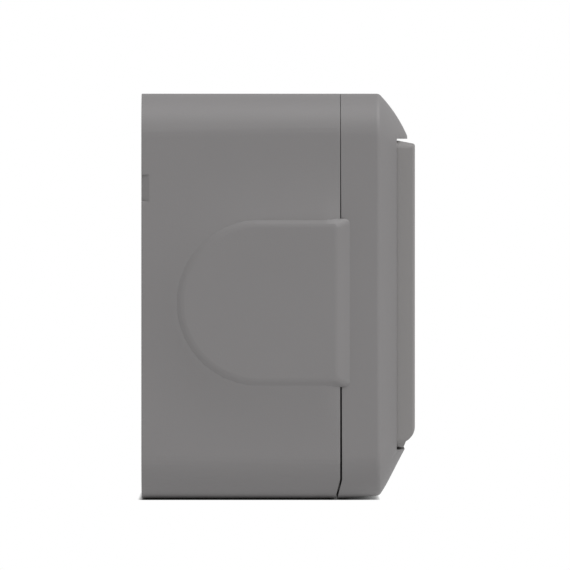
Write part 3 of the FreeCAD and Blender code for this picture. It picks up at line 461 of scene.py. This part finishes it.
def collar_share(behind):
    """How much of the swelling is left at a distance behind the inserts' front edge."""
    near = max(0.0, min(1.0, behind / settings().plastic.collar_fade))
    return near * near * (3.0 - 2.0 * near)


def faces_beyond(work, x):
    """Faces that lie further out than x on either side."""
    return [face for face in work.faces if abs(face.calc_center_median().x) > x]


def swell_walls(mesh):
    """Lets the side walls, with their eased edges, swell out gently towards the cable inserts."""
    look = settings().plastic
    low, high = solid_boxes("entry_insert_left")[0]
    radius = (high.z - low.z) / 2
    middle = Vector((0.0, high.y - radius, (low.z + high.z) / 2))
    edge_x = solid_boxes("rear_box")[0][1].x - EDGE_STRIP * look.edge_ease
    work = bmesh.new()
    work.from_mesh(mesh)
    walls = faces_beyond(work, edge_x)
    walls = bmesh.ops.triangulate(work, faces=walls)["faces"]
    reach = radius + look.collar_reach
    steps = 2 * round(reach / look.collar_grid)
    for step in range(steps + 1):
        shift = reach * (2 * step / steps - 1)
        for axis in (1, 2):
            place = middle.copy()
            place[axis] += shift
            normal = Vector((0.0, 0.0, 0.0))
            normal[axis] = 1.0
            parts = dict.fromkeys(walls)
            for face in walls:
                parts.update(dict.fromkeys(face.edges))
                parts.update(dict.fromkeys(face.verts))
            bmesh.ops.bisect_plane(
                work, geom=list(parts), dist=MERGE_DISTANCE, plane_co=place, plane_no=normal)
            walls = faces_beyond(work, edge_x)
    for vert in work.verts:
        if abs(vert.co.x) > edge_x:
            back = max(0.0, vert.co.y - middle.y)
            away = max(0.0, math.hypot(back, vert.co.z - middle.z) - radius)
            rise = look.collar_rise * max(0.0, 1.0 - away / look.collar_reach) ** 2
            vert.co.x += math.copysign(rise * collar_share(vert.co.y - low.y), vert.co.x)
    work.to_mesh(mesh)
    work.free()


def round_plate(mesh):
    """Sets an insert's outer plate on the swelling wall, with gently rounded edges."""
    look = settings().plastic
    wall_x = solid_boxes("rear_box")[0][1].x
    work = bmesh.new()
    work.from_mesh(mesh)
    full = max(abs(vert.co.x) for vert in work.verts) - wall_x
    outer = faces_beyond(work, wall_x + full - MERGE_DISTANCE)
    plate = max(outer, key=lambda face: face.calc_area())
    middle = plate.calc_center_bounds()
    half = max(vert.co.z for vert in plate.verts) - middle.z
    for ring in range(PLATE_RINGS):
        # each ring rises less than the one before, so that the dome ends flat
        rise = look.plate_dome * (2 * (PLATE_RINGS - ring) - 1) / PLATE_RINGS ** 2
        plate = bmesh.ops.extrude_discrete_faces(work, faces=[plate])["faces"][0]
        for vert in plate.verts:
            inward = (middle - vert.co) * look.plate_round / PLATE_RINGS / half
            vert.co += Vector((math.copysign(rise, vert.co.x), inward.y, inward.z))
    front_y = min(vert.co.y for vert in work.verts)
    for step in range(1, PLATE_RINGS + 1):
        bmesh.ops.bisect_plane(
            work, geom=list(work.verts) + list(work.edges) + list(work.faces), dist=MERGE_DISTANCE,
            plane_co=(0.0, front_y + look.collar_fade * step / PLATE_RINGS, 0.0), plane_no=(0.0, 1.0, 0.0))
    top = look.plate_foot + full * look.plate_slope
    for vert in work.verts:
        height = abs(vert.co.x) - wall_x
        if height > -SLIVER_LENGTH:
            edge = min(height, full)
            raised = look.plate_foot + edge * look.plate_slope
            on_wall = collar_share(vert.co.y - front_y)
            raised = raised * on_wall + edge * top / full * (1.0 - on_wall) + height - edge
            vert.co.x = math.copysign(wall_x + raised, vert.co.x)
    for face in work.faces:
        face.smooth = True
    work.to_mesh(mesh)
    work.free()


def spread_sides(mesh):
    """Brings the rocker's sides closer to the rails; the trunnions keep their ends."""
    spread = settings().plastic.rocker_spread
    upper_z = solid_boxes("rocker_plate")[0][1].z / 2
    side_x = max(vert.co.x for vert in mesh.vertices if vert.co.z > upper_z)
    for vert in mesh.vertices:
        inside = side_x - abs(vert.co.x)
        if -MERGE_DISTANCE < inside < SPREAD_STRIP * spread:
            vert.co.x += math.copysign(spread - inside / SPREAD_STRIP, vert.co.x)


def eased_shell(node, reshape=None):
    """Makes a copy of a moulded CAD node with its sharp edges eased and its flat faces shaded flat."""
    work = bmesh.new()
    work.from_mesh(frame["nodes"][node].data)
    bmesh.ops.remove_doubles(work, verts=work.verts, dist=MERGE_DISTANCE)
    bmesh.ops.dissolve_degenerate(work, edges=work.edges, dist=SLIVER_LENGTH)
    bmesh.ops.dissolve_limit(work, angle_limit=FLAT_ANGLE, verts=work.verts, edges=work.edges)
    for face in work.faces:
        face.smooth = True
    clean = bpy.data.meshes.new(node + "_shell")
    work.to_mesh(clean)
    work.free()
    clean.materials.append(slot_material(SLOT_OF_NODE[node]))
    piece = place_mesh(node + "_shell", clean)
    round_over = piece.modifiers.new("Ease", "BEVEL")
    round_over.width = settings().plastic.edge_ease
    round_over.segments = EASE_STEPS
    round_over.limit_method = "ANGLE"
    round_over.angle_limit = CREASE_ANGLE
    round_over.use_clamp_overlap = True
    round_over.miter_outer = "MITER_ARC"
    baked(piece)
    if reshape:
        reshape(piece.data)
    even = piece.modifiers.new("Even", "WEIGHTED_NORMAL")
    even.keep_sharp = True
    baked(piece)
    settle(piece, node)


def node_tree(name, numbers, whole=()):
    """Geometry tree with a mesh in and out and named number inputs."""
    tree = bpy.data.node_groups.new(name, "GeometryNodeTree")
    sockets(tree, ["Geometry"], "Geometry", "INPUT")
    sockets(tree, numbers, "Float", "INPUT")
    sockets(tree, whole, "Int", "INPUT")
    sockets(tree, ["Material"], "Material", "INPUT")
    sockets(tree, ["Geometry"], "Geometry", "OUTPUT")
    return tree, put(tree, "NodeGroupInput").outputs


def close_tree(tree, given, mesh):
    """Ends a geometry tree in real meshes with the given material."""
    real = put(tree, "GeometryNodeRealizeInstances", {"Geometry": mesh})
    dressed = put(tree, "GeometryNodeSetMaterial", {
        "Geometry": real.outputs[0], "Material": given["Material"]})
    put(tree, "NodeGroupOutput", {"Geometry": dressed.outputs[0]})


def grown(piece, tree, values):
    """Runs a geometry tree on a piece and keeps the mesh that it makes."""
    grow = piece.modifiers.new(tree.name, "NODES")
    grow.node_group = tree
    for item in tree.interface.items_tree:
        if item.in_out == "INPUT" and item.name in values:
            grow[item.identifier] = values[item.name]
    return baked(piece)


def moved(tree, mesh, x=0.0, y=0.0, z=0.0, turn=(0.0, 0.0, 0.0)):
    """A mesh that is turned and shifted."""
    shift = put(tree, "ShaderNodeCombineXYZ", {"X": x, "Y": y, "Z": z})
    return put(tree, "GeometryNodeTransform", {
        "Geometry": mesh, "Translation": shift.outputs[0], "Rotation": turn}).outputs[0]


def joined(tree, *meshes):
    """Several meshes as one, in the given order."""
    node = tree.nodes.new("GeometryNodeJoinGeometry")
    for mesh in reversed(meshes):
        tree.links.new(mesh, node.inputs[0])
    return node.outputs[0]


def boolean(tree, operation, first, second):
    """What is left of two solids that are cut, merged or intersected."""
    node = put(tree, "GeometryNodeMeshBoolean", operation=operation, solver="EXACT")
    if operation == "DIFFERENCE":
        tree.links.new(first, node.inputs["Mesh 1"])
        tree.links.new(second, node.inputs["Mesh 2"])
    else:
        tree.links.new(second, node.inputs["Mesh 2"])
        tree.links.new(first, node.inputs["Mesh 2"])
    return node.outputs["Mesh"]


def screw_tree():
    """A screw on every point of the mesh: domed head with a cross recess, threaded shank and a
    blunt point. Each screw lies along the depth and was left at its own turn."""
    tree, given = node_tree(
        "screw_row",
        ["Head Radius", "Head Height", "Shank Radius", "Bite", "Recess Width", "Recess Length",
         "Recess Depth", "Thread Depth", "Thread Pitch"],
        ["Round Steps", "Seed"])
    steps = given["Round Steps"]
    head_r = given["Head Radius"]
    head_h = given["Head Height"]

    crown = sums(tree, "MULTIPLY", head_h, DOME_SHARE)
    dome_r = sums(tree, "DIVIDE", sums(tree, "MULTIPLY_ADD", head_r, head_r,
                                       sums(tree, "MULTIPLY", crown, crown)),
                  sums(tree, "MULTIPLY", crown, 2.0))
    drum = put(tree, "GeometryNodeMeshCylinder", {
        "Vertices": steps, "Radius": head_r, "Depth": head_h}).outputs["Mesh"]
    drum = moved(tree, drum, z=crown)
    ball = put(tree, "GeometryNodeMeshUVSphere", {
        "Segments": steps, "Rings": DOME_RINGS, "Radius": dome_r}).outputs["Mesh"]
    ball = moved(tree, ball, z=sums(tree, "SUBTRACT", head_h, dome_r))
    head = boolean(tree, "INTERSECT", drum, ball)

    long = sums(tree, "MULTIPLY", sums(tree, "MULTIPLY", head_r, 2.0), given["Recess Length"])
    wide = sums(tree, "MULTIPLY", head_r, given["Recess Width"])
    deep = sums(tree, "MULTIPLY", head_h, given["Recess Depth"])
    bars = []
    for size in ((long, wide), (wide, long)):
        box_size = put(tree, "ShaderNodeCombineXYZ", {
            "X": size[0], "Y": size[1], "Z": sums(tree, "MULTIPLY", deep, 2.0)})
        bar = put(tree, "GeometryNodeMeshCube", {"Size": box_size.outputs[0]}).outputs["Mesh"]
        bars.append(moved(tree, bar, z=head_h))
    head = boolean(tree, "DIFFERENCE", head, boolean(tree, "UNION", *bars))

    shank_r = given["Shank Radius"]
    bite = given["Bite"]
    thread = sums(tree, "MULTIPLY", shank_r, given["Thread Depth"])
    core_r = sums(tree, "SUBTRACT", shank_r, thread)
    straight = sums(tree, "SUBTRACT", bite, shank_r)
    core = put(tree, "GeometryNodeMeshCylinder", {
        "Vertices": steps, "Radius": core_r, "Depth": straight}).outputs["Mesh"]
    core = moved(tree, core, z=sums(tree, "MULTIPLY", straight, -0.5))
    point = put(tree, "GeometryNodeMeshCone", {
        "Vertices": steps, "Radius Top": core_r,
        "Radius Bottom": sums(tree, "MULTIPLY", core_r, POINT_SHARE), "Depth": shank_r}).outputs["Mesh"]
    point = moved(tree, point, z=sums(tree, "MULTIPLY", bite, -1.0))

    pitch = sums(tree, "MULTIPLY", shank_r, given["Thread Pitch"])
    run = sums(tree, "SUBTRACT", straight, sums(tree, "MULTIPLY", shank_r, PLAIN_SHARE))
    ridge = put(tree, "GeometryNodeCurveSpiral", {
        "Resolution": THREAD_STEPS, "Rotations": sums(tree, "DIVIDE", run, pitch),
        "Start Radius": core_r, "End Radius": core_r, "Height": run}).outputs["Curve"]
    tooth = put(tree, "GeometryNodeCurvePrimitiveCircle", {"Resolution": TOOTH_CORNERS, "Radius": thread})
    ridge = put(tree, "GeometryNodeCurveToMesh", {
        "Curve": ridge, "Profile Curve": tooth.outputs["Curve"], "Fill Caps": True}).outputs["Mesh"]
    ridge = moved(tree, ridge, z=sums(tree, "MULTIPLY", straight, -1.0))

    screw = joined(tree, head, core, point, ridge)
    row = put(tree, "GeometryNodeInstanceOnPoints", {
        "Points": given["Geometry"], "Instance": screw, "Rotation": ALONG_DEPTH})
    spin = put(tree, "FunctionNodeRandomValue", data_type="FLOAT")
    spin.inputs[2].default_value = 0.0
    spin.inputs[3].default_value = math.pi / 2
    tree.links.new(given["Seed"], spin.inputs["Seed"])
    about = put(tree, "ShaderNodeCombineXYZ", {"Z": spin.outputs[1]})
    row = put(tree, "GeometryNodeRotateInstances", {
        "Instances": row.outputs[0], "Rotation": about.outputs[0], "Local Space": True})
    close_tree(tree, given, row.outputs[0])
    return tree


def rim_cord_tree():
    """Soft cord of rounded section along the rounded rim."""
    tree, given = node_tree(
        "rim_cord",
        ["Path Width", "Path Height", "Bend Radius", "Cord Width", "Cord Height", "Cord Round", "Back"],
        ["Bend Steps"])
    path = put(tree, "GeometryNodeCurvePrimitiveQuadrilateral", {
        "Width": given["Path Width"], "Height": given["Path Height"]}).outputs["Curve"]
    path = put(tree, "GeometryNodeFilletCurve", {
        "Curve": path, "Count": given["Bend Steps"], "Radius": given["Bend Radius"]},
        mode="POLY").outputs["Curve"]
    section = put(tree, "GeometryNodeCurvePrimitiveQuadrilateral", {
        "Width": given["Cord Width"], "Height": given["Cord Height"]}).outputs["Curve"]
    section = put(tree, "GeometryNodeFilletCurve", {
        "Curve": section, "Count": CORD_STEPS, "Radius": given["Cord Round"]},
        mode="POLY").outputs["Curve"]
    cord = put(tree, "GeometryNodeCurveToMesh", {"Curve": path, "Profile Curve": section}).outputs["Mesh"]
    cord = moved(tree, cord, y=given["Back"], turn=ALONG_DEPTH)
    close_tree(tree, given, cord)
    return tree


class SWITCH_OT_rear_box(bpy.types.Operator):
    """Make the rear box with eased edges and gently swelling side walls"""

    bl_idname = "switch.rear_box"
    bl_label = "Rear box"

    def execute(self, context):
        eased_shell("rear_box", swell_walls)
        return {"FINISHED"}


class SWITCH_OT_entry_inserts(bpy.types.Operator):
    """Make the two cable entry inserts with rounded plates"""

    bl_idname = "switch.entry_inserts"
    bl_label = "Cable entry inserts"

    def execute(self, context):
        for node in ("entry_insert_left", "entry_insert_right"):
            eased_shell(node, round_plate)
        return {"FINISHED"}


class SWITCH_OT_front_cover(bpy.types.Operator):
    """Make the hooded front cover with eased edges"""

    bl_idname = "switch.front_cover"
    bl_label = "Front cover"

    def execute(self, context):
        eased_shell("front_cover")
        return {"FINISHED"}


class SWITCH_OT_rocker(bpy.types.Operator):
    """Make the wide rocker with eased edges"""

    bl_idname = "switch.rocker"
    bl_label = "Rocker"

    def execute(self, context):
        eased_shell("rocker_plate", spread_sides)
        return {"FINISHED"}


class SWITCH_OT_seals(bpy.types.Operator):
    """Sweep the rim cord along its groove and give the other seals their rubber finish"""

    bl_idname = "switch.seals"
    bl_label = "Seals"

    def execute(self, context):
        look = settings().seals
        low, high = solid_boxes("rim_seal")[0]
        cord = grown(place_mesh("rim_cord", bpy.data.meshes.new("rim_cord")), rim_cord_tree(), {
            "Path Width": high.x - low.x - look.cord_width,
            "Path Height": high.z - low.z - look.cord_width,
            "Bend Radius": look.bend_radius,
            "Cord Width": look.cord_width,
            "Cord Height": high.y - low.y,
            "Cord Round": look.cord_round,
            "Back": (low.y + high.y) / 2,
            "Bend Steps": look.bend_steps,
            "Material": slot_material("seal_rubber"),
        })
        cord.data.shade_smooth()
        settle(cord, "rim_seal")
        for node, slot in SLOT_OF_NODE.items():
            if slot == "seal_rubber" and node != "rim_seal":
                paint(node)
        return {"FINISHED"}


class SWITCH_OT_screws(bpy.types.Operator):
    """Make the cover, frame, cap and terminal screws with recess and thread"""

    bl_idname = "switch.screws"
    bl_label = "Screws"

    def execute(self, context):
        look = settings().screws
        tree = screw_tree()
        for node, row in SCREW_ROWS.items():
            boxes = solid_boxes(node)
            low, high = boxes[0]
            seat = low.y + row["head"]
            mesh = bpy.data.meshes.new(node)
            mesh.from_pydata([((a.x + b.x) / 2, seat, (a.z + b.z) / 2) for a, b in boxes], [], [])
            piece = grown(place_mesh(node + "_threaded", mesh), tree, {
                "Head Radius": (high.x - low.x) / 2,
                "Head Height": row["head"],
                "Shank Radius": row["shank"],
                "Bite": high.y - seat,
                "Recess Width": look.recess_width,
                "Recess Length": look.recess_length,
                "Recess Depth": look.recess_depth,
                "Thread Depth": look.thread_depth,
                "Thread Pitch": look.thread_pitch,
                "Round Steps": look.round_steps,
                "Seed": look.seed,
                "Material": slot_material("zinc_steel"),
            })
            piece.data.shade_smooth()
            piece.data.set_sharp_from_angle(angle=CREASE_ANGLE)
            settle(piece, node)
        return {"FINISHED"}


class SWITCH_OT_mechanism(bpy.types.Operator):
    """Finish the support frame, mechanism housing, lever, plunger and spring"""

    bl_idname = "switch.mechanism"
    bl_label = "Mechanism"

    def execute(self, context):
        for node in ("support_frame", "mechanism_base", "mechanism_cap", "contact_lever", "lever_axle",
                     "return_plunger", "return_spring"):
            paint(node)
        return {"FINISHED"}


class SWITCH_OT_contacts(bpy.types.Operator):
    """Finish the brass strips, silver tips and terminal clamps"""

    bl_idname = "switch.contacts"
    bl_label = "Contacts"

    def execute(self, context):
        for node, slot in SLOT_OF_NODE.items():
            if slot in ("contact_brass", "contact_silver"):
                paint(node)
        return {"FINISHED"}


class SWITCH_OT_stage(bpy.types.Operator):
    """Set up the pale floor, the white room, the soft light and the camera"""

    bl_idname = "switch.stage"
    bl_label = "Stage"

    def execute(self, context):
        stage = settings().stage
        lay_floor(stage)
        light_room(stage)
        hang_light(stage)
        aim_camera(stage)
        context.scene.view_settings.view_transform = "Standard"
        context.scene.view_settings.look = "None"
        return {"FINISHED"}


def lay_floor(stage):
    """White floor that glows like a light table, with painted shade that darkens its glow and the camera's
    white close under the switch.
    """
    floor_z = CAD_BOX[0][2] - stage.floor_gap
    mesh = bpy.data.meshes.new("floor")
    corners = [
        (x * FLOOR_REACH, y * FLOOR_REACH, floor_z) for x, y in ((-1, -1), (1, -1), (1, 1), (-1, 1))]
    mesh.from_pydata(corners, [], [(0, 1, 2, 3)])
    numbers = {"Grain Size": stage.floor_grain, "Mottle": 0.02, "Roughness": 0.8, "Roughness Spread": 0.1}
    glow = finish("floor", moulded_grain, stage.floor_colour, numbers, stage.floor_height)
    tree = glow.node_tree
    shader = next(node for node in tree.nodes if node.type == "BSDF_PRINCIPLED")
    shader.inputs["Emission Strength"].default_value = stage.floor_glow
    shade = put(
        tree, "ShaderNodeAmbientOcclusion", {"Distance": stage.floor_shade}, samples=SHADE_SAMPLES)
    # painted shade: ambient occlusion darkens the floor's glow close under the switch
    shaded_glow = sums(tree, "POWER", shade.outputs["AO"], GLOW_SHADE_POWER)
    tree.links.new(shaded_glow, shader.inputs["Emission Color"])
    # painted shade: the camera sees a plain white floor, darkened by ambient occlusion close under the
    # switch and in the real gap; the switch gets the light of a real floor
    white = sums(tree, "POWER", shade.outputs["AO"], SEEN_SHADE_POWER)
    seen = put(tree, "ShaderNodeEmission", {"Color": white, "Strength": 1.0})
    rays = put(tree, "ShaderNodeLightPath")
    mixed = put(tree, "ShaderNodeMixShader", {
        "Fac": rays.outputs["Is Camera Ray"], 1: shader.outputs[0], 2: seen.outputs[0]})
    end = next(node for node in tree.nodes if node.type == "OUTPUT_MATERIAL")
    tree.links.new(mixed.outputs[0], end.inputs["Surface"])
    mesh.materials.append(glow)
    place_mesh("floor", mesh)


def light_room(stage):
    """White room, a little brighter above and in front."""
    world = bpy.data.worlds.new("white_room")
    bpy.context.scene.world = world
    world.use_nodes = True
    tree = world.node_tree
    tree.nodes.clear()
    towards = put(tree, "ShaderNodeTexCoord").outputs["Generated"]
    lean = Vector(ROOM_BRIGHT).normalized()
    facing = put(tree, "ShaderNodeVectorMath", {0: towards, 1: lean}, operation="DOT_PRODUCT")
    swing = sums(tree, "MULTIPLY_ADD", facing.outputs["Value"], stage.room_lean, 1.0)
    strength = sums(tree, "MULTIPLY", swing, stage.room_light)
    room = put(tree, "ShaderNodeBackground", {"Color": WHITE, "Strength": strength})
    seen = put(tree, "ShaderNodeBackground", {"Color": WHITE, "Strength": 1.0})
    rays = put(tree, "ShaderNodeLightPath")
    mixed = put(tree, "ShaderNodeMixShader", {
        "Fac": rays.outputs["Is Camera Ray"], 1: room.outputs[0], 2: seen.outputs[0]})
    put(tree, "ShaderNodeOutputWorld", {"Surface": mixed.outputs[0]})


def hang_light(stage):
    """Wide soft light from above, in front and a little from the seen side."""
    light = bpy.data.lights.new("key", "SUN")
    light.energy = stage.key_light
    light.angle = stage.key_angle
    lamp = bpy.data.objects.new("key", light)
    bpy.context.scene.collection.objects.link(lamp)
    lamp.rotation_euler = Vector(KEY_FROM).to_track_quat("Z", "Y").to_euler()


def aim_camera(stage):
    """Long lens at the switch's left side, level with the slot under the hood."""
    lens = bpy.data.cameras.new("side_view")
    near = stage.distance + CAD_BOX[0][0]
    lens.sensor_width = SENSOR_WIDTH
    lens.lens = SENSOR_WIDTH * near / stage.frame_width
    lens.clip_end = SIGHT
    eye = bpy.data.objects.new("side_view", lens)
    bpy.context.scene.collection.objects.link(eye)
    target = Vector((CAD_BOX[0][0], -stage.aim_depth, stage.aim_height))
    eye.location = (-stage.distance, -stage.aim_depth, stage.eye_height)
    eye.rotation_euler = (target - eye.location).to_track_quat("-Z", "Y").to_euler()
    bpy.context.scene.camera = eye


STEPS = (
    SWITCH_OT_rear_box,
    SWITCH_OT_entry_inserts,
    SWITCH_OT_front_cover,
    SWITCH_OT_rocker,
    SWITCH_OT_seals,
    SWITCH_OT_screws,
    SWITCH_OT_mechanism,
    SWITCH_OT_contacts,
    SWITCH_OT_stage,
)


class SwitchSettings(bpy.types.PropertyGroup):
    """All settings of the switch"""

    plastic: PointerProperty(type=PlasticSettings)
    seals: PointerProperty(type=SealSettings)
    screws: PointerProperty(type=ScrewSettings)
    metals: PointerProperty(type=MetalSettings)
    stage: PointerProperty(type=StageSettings)


class SWITCH_PT_sidebar(bpy.types.Panel):
    """Pieces and settings of the switch"""

    bl_idname = "SWITCH_PT_sidebar"
    bl_label = "Weatherproof switch"
    bl_space_type = "VIEW_3D"
    bl_region_type = "UI"
    bl_category = "Switch"

    def draw(self, context):
        for group in ("plastic", "seals", "screws", "metals", "stage"):
            values = getattr(context.scene.weatherproof_switch, group)
            box = self.layout.box()
            for key in values.bl_rna.properties.keys():
                if key not in ("rna_type", "name"):
                    box.prop(values, key)
        for step in STEPS:
            self.layout.operator(step.bl_idname)


CLASSES = (
    PlasticSettings,
    SealSettings,
    ScrewSettings,
    MetalSettings,
    StageSettings,
    SwitchSettings,
    *STEPS,
    SWITCH_PT_sidebar,
)


def register():
    for cls in CLASSES:
        bpy.utils.register_class(cls)
    bpy.types.Scene.weatherproof_switch = PointerProperty(type=SwitchSettings)


def unregister():
    del bpy.types.Scene.weatherproof_switch
    for cls in reversed(CLASSES):
        bpy.utils.unregister_class(cls)


def main():
    register()
    for step in STEPS:
        group, name = step.bl_idname.split(".")
        getattr(getattr(bpy.ops, group), name)()


if __name__ == "__main__":
    main()
